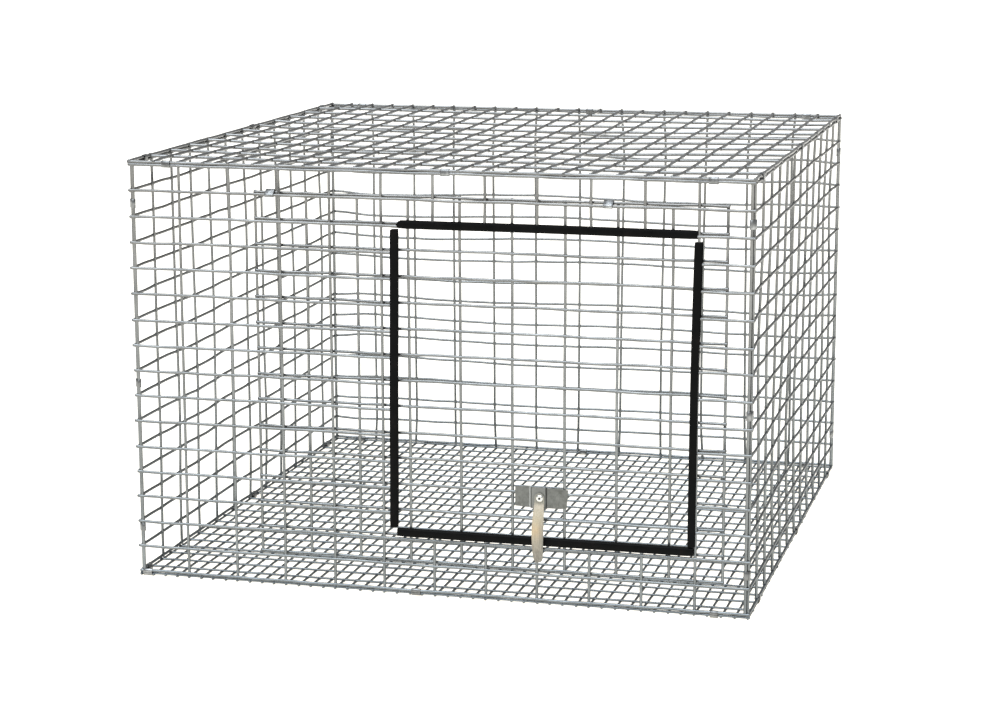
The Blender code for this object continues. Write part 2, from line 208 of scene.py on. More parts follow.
class Warp:
    """A smooth wander over a panel: seeded waves that fade out at its rim and round any cut-out.

    A bow pulls the middle inward. Outward bulges are kept small, so the panel stays inside its clips.
    """

    def __init__(self, draw, bounds, in_plane, through, bow):
        self.bounds = bounds
        self.in_plane = in_plane
        self.through = through
        self.bow = bow
        self.hole = None
        self.waves = []
        for shortest, longest in WAVE_LENGTHS:
            waves = []
            for _ in range(WAVE_COUNT):
                length = draw.uniform(shortest, longest)
                heading = draw.uniform(0, math.tau)
                waves.append((
                    math.cos(heading) / length, math.sin(heading) / length, draw.uniform(0, math.tau),
                ))
            self.waves.append(waves)

    def at(self, a, b):
        """Shifts along, up and out at a place in the panel's plane."""
        low_a, high_a, low_b, high_b = self.bounds
        clear = min(a - low_a, high_a - a, b - low_b, high_b - b)
        if self.hole:
            left, right, bottom, top = self.hole
            clear = min(clear, math.hypot(max(left - a, 0, a - right), max(bottom - b, 0, b - top)))
        rim = ease(0.0, WARP_REACH, clear)
        rim = rim * rim * (3 - 2 * rim)
        sums = [
            rim * sum(math.sin(math.tau * (fa * a + fb * b) + phase) for fa, fb, phase in waves) / WAVE_SUM
            for waves in self.waves
        ]
        share_a = ease(low_a, high_a - low_a, a)
        share_b = ease(low_b, high_b - low_b, b)
        out = sums[2] * self.through
        if out > 0:
            out *= OUTWARD_SHARE
        out -= self.bow * math.sin(math.pi * share_a) * math.sin(math.pi * share_b)
        return sums[0] * self.in_plane, sums[1] * self.in_plane, out


class MeshPanel:
    """One welded panel. along and up lie in its plane, and out is the way that faces away from the cage."""

    def __init__(
        self, node, along, up, out, seed, in_plane=0.5 * MM, through=0.8 * MM, bow=0.0, radius=WIRE_RADIUS,
        sway=SWAY,
    ):
        low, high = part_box(node)
        self.node = node
        self.radius, self.sway = radius, sway
        self.draw = random.Random(seed)
        self.along, self.up, self.out = along, up, out
        middle = (low + high) / 2
        self.level = middle.dot(out)
        ends_a = sorted((low.dot(along), high.dot(along)))
        ends_b = sorted((low.dot(up), high.dot(up)))
        self.low_a, self.high_a = ends_a[0] + BAR_HALF, ends_a[1] - BAR_HALF
        self.low_b, self.high_b = ends_b[0] + BAR_HALF, ends_b[1] - BAR_HALF
        self.warp = Warp(
            self.draw, (self.low_a, self.high_a, self.low_b, self.high_b), in_plane, through, bow,
        )
        self.points, self.faces, self.weld, self.tone = [], [], [], []

    def place(self, a, b, t):
        """World point of panel coordinates, with the panel's warp."""
        shift_a, shift_b, shift_t = self.warp.at(a, b)
        return (
            self.along * (a + shift_a) + self.up * (b + shift_b)
            + self.out * (self.level + t + shift_t)
        )

    def lines(self, low, high, pitch):
        """Where wires lie from low to high, at steps as near to pitch as come out even."""
        count = round((high - low) / pitch)
        return [low + (high - low) * index / count for index in range(count + 1)]

    def wire(self, runs_up, fixed, start, stop, crossings, layer, shift=None):
        """One wire at a fixed place, from start to stop, welded at its crossings.

        A layer of +1 is the outer one. A shift of None is drawn.
        """
        draw = self.draw
        shift = draw.uniform(-WIRE_SHIFT, WIRE_SHIFT) if shift is None else shift
        lean = draw.uniform(-WIRE_SHIFT, WIRE_SHIFT) * 0.5
        tone = draw.random()
        # A station is a place along the wire, its size there, how far it is a weld, and its sway.
        stations = [(start, CUT_SIZE, 0.0, 0.0), (start + WIRE_BEVEL, 1.0, 0.0, 0.0)]
        before = None
        for crossing in sorted(crossings):
            swell = draw.uniform(*WELD_SWELL)
            if draw.random() < LUMP_SHARE:
                swell = WELD_LUMP
            sway = draw.uniform(-self.sway, self.sway)
            if before is not None and crossing - before > LONG_BAY:
                for share, part in ((0.27, 0.7), (0.5, 1.0), (0.73, 0.7)):
                    stations.append((before + (crossing - before) * share, 1.0, 0.0, sway * part))
            before = crossing
            for step, size, weld in ((-WELD_HALF, 1.0, 0.35), (0.0, swell, 1.0), (WELD_HALF, 1.0, 0.35)):
                spot = crossing + step
                if start + 1.6 * WIRE_BEVEL < spot < stop - 1.6 * WIRE_BEVEL:
                    stations.append((spot, size, weld, 0.0))
        stations += [(stop - WIRE_BEVEL, 1.0, 0.0, 0.0), (stop, CUT_SIZE, 0.0, 0.0)]
        length = max(stop - start, MM)
        across = self.along if runs_up else self.up
        angles = [math.tau * side / WIRE_SIDES for side in range(WIRE_SIDES)]
        rays = [across * math.cos(angle) + self.out * math.sin(angle) for angle in angles]
        rings = []
        for spot, size, weld, sway in stations:
            offset = shift + sway + lean * (2 * (spot - start) / length - 1)
            a, b = (fixed + offset, spot) if runs_up else (spot, fixed + offset)
            centre = self.place(a, b, layer * LAYER)
            rings.append([centre + ray * (self.radius * size) for ray in rays])
            self.weld += [weld] * WIRE_SIDES
            self.tone += [tone] * WIRE_SIDES
        points, faces = loft(rings)
        base = len(self.points)
        self.points += points
        self.faces += [tuple(base + corner for corner in face) for face in faces]

    def nub(self, low, high):
        """How far a cut end stands past the panel's last wire."""
        return self.draw.uniform(low, high) * MM

    def build(self, name, body, material):
        make_piece(
            name, self.points, self.faces, material, body, (self.node,),
            {"weld": self.weld, "tone": self.tone},
        )


def whole_panel(panel, pitch_a, pitch_b, upright_layer, ends_a, ends_b, slant=0.0):
    """Every wire of an uncut panel: uprights stand at steps of pitch_a, crossbars at steps of pitch_b.

    ends_a and ends_b are the (least, most) reach of the crossbars' and the uprights' cut ends, in mm.
    slant is the share by which the uprights' first ends get shorter from the low to the high side.
    """
    uprights = panel.lines(panel.low_a, panel.high_a, pitch_a)
    crossbars = panel.lines(panel.low_b, panel.high_b, pitch_b)
    for a in uprights:
        trim = 1 - slant * (a - panel.low_a) / (panel.high_a - panel.low_a)
        start, stop = panel.low_b - panel.nub(*ends_b[0]) * trim, panel.high_b + panel.nub(*ends_b[1])
        panel.wire(True, a, start, stop, crossbars, upright_layer)
    for b in crossbars:
        start, stop = panel.low_a - panel.nub(*ends_a[0]), panel.high_a + panel.nub(*ends_a[1])
        panel.wire(False, b, start, stop, uprights, -upright_layer)


# ---------------------------------------------------------------- materials

class Nodes:
    """Short calls for building a material's node tree."""

    def __init__(self, name):
        self.material = bpy.data.materials.new(name)
        self.material.use_nodes = True
        self.tree = self.material.node_tree
        self.shader = self.tree.nodes["Principled BSDF"]
        self.coordinates = self.tree.nodes.new("ShaderNodeTexCoord").outputs["Object"]

    def add(self, kind, inputs=None, **settings):
        node = self.tree.nodes.new(kind)
        for key, value in settings.items():
            setattr(node, key, value)
        for key, value in (inputs or {}).items():
            if isinstance(value, bpy.types.NodeSocket):
                self.tree.links.new(value, node.inputs[key])
            else:
                node.inputs[key].default_value = value
        return node

    def noise(self, scale, detail=3.0, roughness=0.55, vector=None):
        node = self.add("ShaderNodeTexNoise", {
            "Vector": vector or self.coordinates, "Scale": scale, "Detail": detail, "Roughness": roughness,
        })
        return node.outputs["Fac"]

    def crystals(self, scale):
        """A random value from 0 to 1 for each cell."""
        cells = self.add("ShaderNodeTexVoronoi", {"Vector": self.coordinates, "Scale": scale})
        return self.add("ShaderNodeSeparateColor", {"Color": cells.outputs["Color"]}).outputs["Red"]

    def stretched(self, sizes):
        """Coordinates scaled along each axis, for grain that runs one way."""
        node = self.add("ShaderNodeMapping", {"Vector": self.coordinates, "Scale": sizes})
        return node.outputs["Vector"]

    def span(self, value, low, high, from_low=0.0, from_high=1.0):
        """A value that runs from from_low to from_high, stretched to run from low to high."""
        node = self.add("ShaderNodeMapRange", {
            "Value": value, "From Min": from_low, "From Max": from_high,
            "To Min": low, "To Max": high,
        })
        return node.outputs["Result"]

    def maths(self, operation, first, second):
        node = self.add("ShaderNodeMath", {0: first, 1: second}, operation=operation)
        return node.outputs["Value"]

    def attribute(self, name):
        return self.add("ShaderNodeAttribute", attribute_name=name).outputs["Fac"]

    def ramp(self, value, stops):
        """Colours between stops of (position, colour)."""
        node = self.add("ShaderNodeValToRGB", {"Fac": value})
        elements = node.color_ramp.elements
        while len(elements) < len(stops):
            elements.new(0.5)
        for element, (position, colour) in zip(elements, stops):
            element.position = position
            element.color = (*colour, 1.0)
        return node.outputs["Color"]

    def mix(self, share, first, second, blend="MIX"):
        """Two colours mixed. The node's colour sockets are 6 and 7, and its colour output is 2."""
        node = self.add("ShaderNodeMix", data_type="RGBA", blend_type=blend)
        for socket, value in ((0, share), (6, first), (7, second)):
            if isinstance(value, bpy.types.NodeSocket):
                self.tree.links.new(value, node.inputs[socket])
            elif socket:
                node.inputs[socket].default_value = (*value, 1.0)
            else:
                node.inputs[socket].default_value = value
        return node.outputs[2]

    def bump(self, height, strength, distance):
        """Relief on the shader's normal."""
        node = self.add("ShaderNodeBump", {
            "Height": height, "Strength": strength, "Distance": distance,
        })
        self.tree.links.new(node.outputs["Normal"], self.shader.inputs["Normal"])

    def set(self, **values):
        """The material, with Principled sockets set by name, with _ for a space."""
        for key, value in values.items():
            socket = self.shader.inputs[key.replace("_", " ")]
            if isinstance(value, bpy.types.NodeSocket):
                self.tree.links.new(value, socket)
            else:
                socket.default_value = value
        return self.material


def wire_zinc(name, glance):
    """Hot-dip zinc on wire: small dull crystals, a rougher skin at the welds, each wire a little different.

    glance is how bright it looks at a glancing angle. The roof gets more, to match the photograph: a painted
    highlight for how the light falls on it, on the same wire as the walls.
    The colour shifts with height to offset the studio floor's warm glow, which no real wire does.
    """
    n = Nodes(name)
    crystals = n.crystals(620.0)
    cloud = n.noise(34.0, 4.0, 0.6)
    grit = n.noise(1500.0, 3.0, 0.6)
    weld = n.attribute("weld")
    tone = n.attribute("tone")
    height = n.add("ShaderNodeSeparateXYZ", {"Vector": n.coordinates}).outputs["Z"]
    base = n.ramp(n.span(cloud, 0.0, 1.0, 0.3, 0.7), (
        (0.0, (0.118, 0.120, 0.121)), (0.5, (0.180, 0.182, 0.183)), (1.0, (0.262, 0.264, 0.265)),
    ))
    base = n.mix(n.span(crystals, 0.05, 0.3), base, (0.325, 0.327, 0.33))
    base = n.mix(n.span(tone, 0.0, 0.45), base, (0.165, 0.160, 0.153))
    base = n.mix(n.maths("MULTIPLY", weld, 0.4), base, (0.17, 0.172, 0.174))
    base = n.mix(1.0, base, n.ramp(n.span(height, 0.0, 1.0, 0.0, 0.42), (
        (0.0, (0.80, 0.88, 0.93)), (0.06, (0.90, 0.965, 0.985)), (0.5, (0.95, 0.985, 0.985)),
        (0.96, (1.0, 1.0, 0.98)), (1.0, (0.98, 1.0, 1.0)),
    )), blend="MULTIPLY")
    rough = n.maths("ADD", n.span(cloud, 0.16, 0.28, 0.3, 0.7), n.span(crystals, -0.02, 0.04))
    rough = n.maths("ADD", rough, n.maths("MULTIPLY", weld, 0.10))
    relief = n.maths("ADD", grit, n.maths("MULTIPLY", crystals, 0.6))
    n.bump(relief, 0.2, 0.05 * MM)
    return n.set(
        Base_Color=base, Metallic=0.92, Roughness=rough, Specular_Tint=(glance, glance, glance, 1.0),
    )


def clip_zinc():
    """Bright electroplated strip, bluish, scuffed by the closing pliers."""
    n = Nodes("clip_zinc")
    cloud = n.noise(160.0, 4.0, 0.6)
    scuffs = n.noise(900.0, 2.0, 0.5, vector=n.stretched((1.0, 1.0, 6.0)))
    base = n.ramp(n.span(cloud, 0.0, 1.0, 0.32, 0.68), (
        (0.0, (0.155, 0.159, 0.160)), (0.55, (0.270, 0.278, 0.280)), (1.0, (0.500, 0.515, 0.515)),
    ))
    base = n.mix(n.span(n.attribute("tone"), 0.0, 0.75), base, (0.12, 0.122, 0.120))
    n.bump(scuffs, 0.4, 0.08 * MM)
    return n.set(
        Base_Color=base, Metallic=0.95, Roughness=n.span(scuffs, 0.24, 0.46, 0.3, 0.7),
    )


def guard_plastic():
    """Black extruded vinyl with fine specks and dusty, duller patches."""
    n = Nodes("guard_plastic")
    dust = n.noise(55.0, 5.0, 0.65)
    specks = n.noise(1400.0, 2.0, 0.5)
    base = n.ramp(n.span(dust, 0.0, 1.0, 0.35, 0.75), (
        (0.0, (0.0012, 0.0015, 0.0015)), (0.6, (0.0028, 0.0028, 0.0028)), (1.0, (0.008, 0.006, 0.005)),
    ))
    n.bump(n.maths("ADD", specks, n.maths("MULTIPLY", dust, 1.5)), 0.3, 0.05 * MM)
    return n.set(
        Base_Color=base, Roughness=n.span(dust, 0.36, 0.6, 0.3, 0.7), Specular_IOR_Level=0.055,
    )


def sheet_zinc():
    """Galvanised sheet: flat spangle crystals, rolling lines and grey bloom, with painted light and shade on
    its bends.
    """
    n = Nodes("sheet_zinc")
    crystals = n.crystals(420.0)
    cloud = n.noise(150.0, 5.0, 0.68)
    lines = n.noise(800.0, 3.0, 0.6, vector=n.stretched((1.0, 1.0, 0.2)))
    fold_light = n.attribute("fold_light")
    base = n.ramp(n.span(cloud, 0.0, 1.0, 0.32, 0.68), (
        (0.0, (0.075, 0.078, 0.071)), (0.5, (0.120, 0.123, 0.114)), (1.0, (0.176, 0.179, 0.167)),
    ))
    base = n.mix(n.span(crystals, 0.0, 0.35), base, (0.215, 0.22, 0.21))
    base = n.mix(n.span(lines, 0.0, 0.4, 0.4, 0.75), base, (0.10, 0.105, 0.095))
    # Painted highlight on the bend that catches the light, and painted shade on the bends that lie dark.
    base = n.mix(n.span(fold_light, 0.0, 1.0), base, (0.52, 0.53, 0.52))
    base = n.mix(n.span(fold_light, 0.0, 0.85, 0.0, -1.0), base, (0.025, 0.026, 0.024))
    relief = n.maths("ADD", n.maths("MULTIPLY", crystals, 0.35), lines)
    n.bump(relief, 0.5, 0.06 * MM)
    rough = n.maths("ADD", n.span(crystals, 0.40, 0.54), n.span(cloud, -0.05, 0.08, 0.3, 0.7))
    return n.set(Base_Color=base, Metallic=0.7, Roughness=rough)


def lever_metal():
    """Warm cream strip: grey under the rivet, amber below its middle, greyer towards its tip, with painted
    shade on its right side.
    """
    n = Nodes("lever_metal")
    share = n.attribute("share")
    across = n.attribute("across")
    lines = n.noise(520.0, 3.0, 0.55, vector=n.stretched((2.5, 2.5, 0.06)))
    cloud = n.noise(130.0, 4.0, 0.6)
    grain = n.noise(1100.0, 3.0, 0.6)
    base = n.ramp(share, (
        (0.0, (0.165, 0.165, 0.145)), (0.13, (0.18, 0.18, 0.15)), (0.18, (0.40, 0.355, 0.275)),
        (0.40, (0.41, 0.345, 0.23)), (0.54, (0.42, 0.31, 0.18)), (0.68, (0.265, 0.231, 0.17)),
        (0.85, (0.143, 0.131, 0.105)), (1.0, (0.111, 0.102, 0.088)),
    ))
    # Painted shade down the strip's right side, growing stronger towards its tip.
    right_side_shade = n.maths("MULTIPLY", n.span(across, 0.0, 1.0, -0.1, 0.9), n.span(share, 0.0, 0.85, 0.2, 0.5))
    base = n.mix(right_side_shade, base, (0.148, 0.141, 0.12))
    base = n.mix(n.span(cloud, 0.0, 0.35, 0.35, 0.8), base, (0.34, 0.31, 0.25))
    base = n.mix(n.span(lines, 0.0, 0.3, 0.45, 0.75), base, (0.62, 0.58, 0.48))
    base = n.mix(n.span(grain, 0.0, 0.55, 0.46, 0.74), base, (0.16, 0.15, 0.13))
    n.bump(n.maths("ADD", grain, n.maths("MULTIPLY", cloud, 0.4)), 0.35, 0.07 * MM)
    return n.set(Base_Color=base, Metallic=0.25, Roughness=n.span(cloud, 0.34, 0.52, 0.3, 0.7))


def rivet_zinc():
    """Bright domed rivet head, with painted shade in the pit where the mandrel broke off."""
    n = Nodes("rivet_zinc")
    cloud = n.noise(420.0, 3.0, 0.6)
    pit_shade = n.attribute("pit_shade")
    base = n.ramp(n.span(cloud, 0.0, 1.0, 0.3, 0.7), (
        (0.0, (0.52, 0.53, 0.50)), (1.0, (0.80, 0.80, 0.76)),
    ))
    # Painted shade, near black, in the pit.
    base = n.mix(pit_shade, base, (0.012, 0.012, 0.013))
    n.bump(cloud, 0.25, 0.05 * MM)
    return n.set(Base_Color=base, Metallic=0.85, Roughness=n.span(cloud, 0.22, 0.36, 0.3, 0.7))


# ---------------------------------------------------------------- the six panels and the door

def doorway_lines(panel, uprights, crossbars):
    """The four wires that bound the doorway: each is the nearest to the middle of its guard."""
    def nearest(values, node, axis):
        middle = middle_of(node, axis)
        return min(values, key=lambda value: abs(value - middle))

    return (
        nearest(uprights, "door_guard_left", panel.along),
        nearest(uprights, "door_guard_right", panel.along),
        nearest(crossbars, "door_guard_bottom", panel.up),
        nearest(crossbars, "door_guard_top", panel.up),
    )


class GuardLine:
    """How a guard strays sideways along its run, in metres."""

    def __init__(self, side, draw):
        low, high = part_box(f"door_guard_{side}")
        along = X if side in ("top", "bottom") else Z
        self.start, self.stop = low.dot(along), high.dot(along)
        self.lean = GUARD_LEAN[side]
        # A wave is a rate per metre, a phase, and a size in millimetres.
        self.waves = [
            (draw.uniform(8, 22), draw.uniform(0, math.tau), draw.uniform(0.06, 0.17))
            for _ in range(WAVE_COUNT)
        ]

    def at(self, spot):
        share = ease(self.start, self.stop - self.start, spot)
        first, last, lateness = self.lean
        wave = sum(size * math.sin(rate * spot + phase) for rate, phase, size in self.waves)
        return (first + (last - first) * share ** lateness + wave * math.sin(math.pi * share)) * MM


def front_panel(material, strays):
    """Front wall. Wires cut at the doorway end inside the guards."""
    panel = MeshPanel("front_panel", X, Z, -Y, seed=11, through=0.6 * MM)
    uprights = panel.lines(panel.low_a, panel.high_a, 2 * INCH)
    crossbars = panel.lines(panel.low_b, panel.high_b, INCH)
    left, right, bottom, top = panel.warp.hole = doorway_lines(panel, uprights, crossbars)
    cover = 1.5 * MM
    left_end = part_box("door_guard_left")[1].x - cover
    right_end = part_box("door_guard_right")[0].x + cover
    bottom_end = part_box("door_guard_bottom")[1].z - cover
    top_end = top - 0.9 * MM
    half = INCH / 2
    edges = {uprights[0]: FRONT_EDGE_SHIFT["left"], uprights[-1]: FRONT_EDGE_SHIFT["right"]}
    for a in uprights:
        start, stop = panel.low_b - panel.nub(*FLUSH_ENDS), panel.high_b + panel.nub(*FLUSH_ENDS)
        shift = edges.get(a, 0.0 if a in (left, right) else None)
        if left + half < a < right - half:
            below = [b for b in crossbars if b < bottom + half]
            above = [b for b in crossbars if b > top - half]
            panel.wire(True, a, start, bottom_end + strays["bottom"].at(a), below, -1)
            panel.wire(True, a, top_end, stop, above, -1)
        else:
            panel.wire(True, a, start, stop, crossbars, -1, shift)
    for b in crossbars:
        start, stop = panel.low_a - panel.nub(*FRONT_ENDS), panel.high_a + panel.nub(*FRONT_ENDS)
        shift = 0.0 if b in (bottom, top) else None
        if bottom + half < b < top - half:
            before = [a for a in uprights if a < left + half]
            after = [a for a in uprights if a > right - half]
            panel.wire(False, b, start, left_end + strays["left"].at(b), before, 1)
            panel.wire(False, b, right_end + strays["right"].at(b), stop, after, 1)
        else:
            panel.wire(False, b, start, stop, uprights, 1, shift)
    panel.build("front_mesh", "cage", material)


def closed_panels(material, roof_material_painted_bright):
    """Back, sides, roof and floor."""
    flush, proud = (FLUSH_ENDS, FLUSH_ENDS), (PROUD_ENDS, PROUD_ENDS)
    # The back's seed is one that leaves a gap beside the right front post in the photograph's view.
    back = MeshPanel(
        "back_panel", X, Z, Y, seed=1331, in_plane=2.8 * MM, through=1.2 * MM, bow=1.5 * MM,
    )
    whole_panel(back, 2 * INCH, INCH, -1, proud, flush)
    back.build("back_mesh", "cage", material)
    for hand, out, seed in (("left", -X, 13), ("right", X, 14)):
        side = MeshPanel(
            f"{hand}_panel", Y, Z, out, seed=seed, in_plane=0.8 * MM, through=1.6 * MM, bow=2 * MM,
            sway=0.7 * MM,
        )
        whole_panel(side, 2 * INCH, INCH, -1, flush, flush)
        side.build(f"{hand}_mesh", "cage", material)
    roof = MeshPanel(
        "top_panel", X, Y, Z, seed=15, in_plane=1.6 * MM, through=2.0 * MM, bow=4 * MM, radius=ROOF_RADIUS,
        sway=0.95 * MM,
    )
    whole_panel(roof, INCH, 2 * INCH, 1, proud, (ROOF_FRONT_ENDS, ROOF_BACK_ENDS))
    roof.build("top_mesh", "cage", roof_material_painted_bright)
    floor = MeshPanel(
        "floor_panel", X, Y, -Z, seed=16, in_plane=0.8 * MM, through=0.5 * MM, radius=FLOOR_RADIUS,
    )
    whole_panel(floor, INCH / 2, INCH, 1, proud, (FLOOR_FRONT_ENDS, FLOOR_BACK_ENDS), slant=FLOOR_SLANT)
    floor.build("floor_mesh", "cage", material)


def door_panel(material):
    """Door, a rectangle of the same mesh as the front. It stays flat enough to clear the guards."""
    door = MeshPanel("door_panel", X, Z, -Y, seed=17, in_plane=0.4 * MM, through=0.08 * MM)
    whole_panel(
        door, 2 * INCH, INCH, -1, (DOOR_SIDE_ENDS, DOOR_SIDE_ENDS), (DOOR_FOOT_ENDS, DOOR_HEAD_ENDS),
    )
    door.build("door_mesh", "door", material)


# ---------------------------------------------------------------- clips

def stadium(first, second, radius_first, radius_second, count=7):
    """Outline round two circles in a plane, as points from one side of the seam to the other."""
    run = (second - first).normalized()
    heading = math.atan2(run.y, run.x)
    points = []
    for centre, radius, start in (
        (second, radius_second, heading - math.pi / 2), (first, radius_first, heading + math.pi / 2),
    ):
        for index in range(count):
            angle = start + math.pi * index / (count - 1)
            points.append(centre + radius * Vector((math.cos(angle), math.sin(angle))))
    return points


def folded_clip(node, first, second, along, across, up, material, draw, play=0.12 * MM):
    """A strip folded round two parallel wires at first and second, its ends meeting at a seam.

    The wires run along; across and up span the clip's section. play is the slack round the second wire.
    """
    low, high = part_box(node)
    middle = ((low + high) / 2).dot(along)
    half = abs((high - low).dot(along)) / 2 * draw.uniform(0.8, 1.0)
    thick = draw.uniform(0.6, 0.75) * MM
    twist = draw.uniform(-0.0005, 0.0005) * thick / MM
    one, two = [Vector((point.dot(across), point.dot(up))) for point in (first, second)]
    centre = (one + two) / 2
    run = (two - one).normalized()
    side = Vector((run.y, -run.x))
    reach = CLIP_BORE + play / 2

    def line(grow):
        """The section's inner line, grown outward."""
        ends = [centre + run * (way * CLIP_SEAM / 2) + side * (reach + grow) for way in (1, -1)]
        return ends[:1] + stadium(one, two, CLIP_BORE + grow, CLIP_BORE + play + grow) + ends[1:]

    section = line(thick) + line(0.0)[::-1]
    rings = []
    full = half - CLIP_BEVEL
    for position, cut in ((-half, True), (-full, False), (full, False), (half, True)):
        ring = []
        for point, mate in zip(section, section[::-1]):
            if cut:
                point = point + (mate - point).normalized() * CLIP_BEVEL
            offset = point - centre
            turned = point + Vector((-offset.y, offset.x)) * (twist * position / half)
            ring.append(across * turned.x + up * turned.y + along * (middle + position))
        rings.append(ring)
    points, faces = shell(rings)
    make_piece(
        node.replace("clip", "band"), points, faces, material, "cage", (node,),
        {"tone": [draw.random()] * len(points)},
    )


def clip_nodes(start):
    """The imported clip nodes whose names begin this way, in order."""
    return sorted(name for name in frame["nodes"] if name.startswith(start))


def edge_clips(material):
    """A clip for each CAD edge clip, round the two edge wires that really lie there."""
    front = -middle_of("front_panel", Y)
    side = middle_of("right_panel", X)
    roof, ground = middle_of("top_panel", Z), middle_of("floor_panel", Z)
    wall_low, wall_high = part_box("front_panel")[0].z + BAR_HALF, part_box("front_panel")[1].z - BAR_HALF
    side_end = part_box("right_panel")[1].y - BAR_HALF
    draw = random.Random(41)
    for side_name, across, sign, reach in (
        ("front", Y, -1, front), ("back", Y, 1, front), ("left", X, -1, side), ("right", X, 1, side),
    ):
        along = X if across == Y else Y
        wall_wire = across * (sign * (reach + LAYER))
        panel_wire = across * (sign * reach)
        roof_layer, floor_layer = (-LAYER, LAYER) if along == X else (LAYER, -LAYER)
        for level, wall_level, panel_level in (
            ("top", wall_high, roof + roof_layer), ("floor", wall_low, ground + floor_layer),
        ):
            for node in clip_nodes(f"{level}_{side_name}_clip_"):
                folded_clip(
                    node, wall_wire + Z * wall_level, panel_wire + Z * panel_level, along, across, Z,
                    material, draw,
                )
    for x_name, sign_x in (("left", -1), ("right", 1)):
        for y_name, sign_y in (("front", -1), ("back", 1)):
            inset = FRONT_EDGE_SHIFT[x_name] if y_name == "front" else 0.0
            long_wire = X * (sign_x * side + inset) + Y * (sign_y * (front - LAYER))
            side_wire = X * (sign_x * (side - LAYER)) + Y * (sign_y * side_end)
            for node in clip_nodes(f"post_{y_name}_{x_name}_clip_"):
                folded_clip(node, long_wire, side_wire, Z, X, Y, material, draw)


def hinge_clips(material):
    """Loose clips that carry the door's top wire on the front panel's second cross wire."""
    fixed_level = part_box("front_panel")[1].z - BAR_HALF - INCH
    turning_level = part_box("door_panel")[1].z - BAR_HALF
    fixed = Y * (middle_of("front_panel", Y) - LAYER) + Z * fixed_level
    turning = Y * middle_of("door_panel", Y) + Z * turning_level
    draw = random.Random(42)
    for node in clip_nodes("hinge_clip_"):
        folded_clip(node, fixed, turning, X, Y, Z, material, draw, play=0.85 * MM)


# ---------------------------------------------------------------- guards

def guard_section():
    """Rounded U in millimetres: a runs from the web to the mouth, b across, outer side first."""
    width, half, inner_half, nose = GUARD_WIDTH, GUARD_HALF, GUARD_HALF - GUARD_WALL, GUARD_NOSE
    edge = width - GUARD_LIP
    outer, inner = [], []
    for index in range(9):
        angle = math.pi * index / 8
        outer.append((nose - nose * math.sin(angle), half * math.cos(angle)))
        inner.append((nose - (nose - GUARD_WALL) * math.sin(angle), inner_half * math.cos(angle)))
    outer = [(width, half - GUARD_LIP), (edge, half)] + outer + [(edge, -half), (width, GUARD_LIP - half)]
    inner = [(edge, inner_half), (nose + 2, inner_half)] + inner
    inner += [(nose + 2, -inner_half), (edge, -inner_half)]
    return outer + inner[::-1]


def guards(material, strays):
    """The four strips, their ends cut a little askew. The top one's left end is a blunt point."""
    section = guard_section()
    draw = random.Random(51)
    plane = middle_of("front_panel", Y)
    middle = GUARD_WIDTH / 2
    count = 40
    for side in ("top", "bottom", "left", "right"):
        node = f"door_guard_{side}"
        low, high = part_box(node)
        level = side in ("top", "bottom")
        start, stop = (low.x, high.x) if level else (low.z, high.z)
        web = {"top": low.z, "bottom": high.z, "left": high.x, "right": low.x}[side]
        mouth = {"top": 1, "bottom": -1, "left": -1, "right": 1}[side]
        slant = draw.uniform(-1.2, 1.2) * MM
        rings = []
        for index in range(count + 1):
            spot = start + (stop - start) * index / count
            shrink = 0.94 if index in (0, count) else 1.0
            ring = []
            for a, b in section:
                end_cut = slant * (a / GUARD_WIDTH - 0.5)
                if side == "top":
                    end_cut = 3.2 * abs(a / middle - 1) ** 1.6 * MM
                here = spot
                if index < 2:
                    here += max(end_cut, 0.0)
                if index > count - 2 and side != "top":
                    here -= max(-end_cut, 0.0)
                slid = middle + (a - middle) * shrink
                place = web + mouth * slid * MM + strays[side].at(spot)
                through = Y * (plane - b * shrink * 0.985 * MM)
                ring.append(through + (X * here + Z * place if level else X * place + Z * here))
            rings.append(ring)
        points, faces = shell(rings)
        make_piece(f"guard_{side}", points, faces, material, "cage", (node,))


# ---------------------------------------------------------------- latch

def joint_place(name):
    """Where a joint turns, in the row frame."""
    return Vector(next(joint["pos_m"] for joint in frame["joints"] if joint["name"] == name))


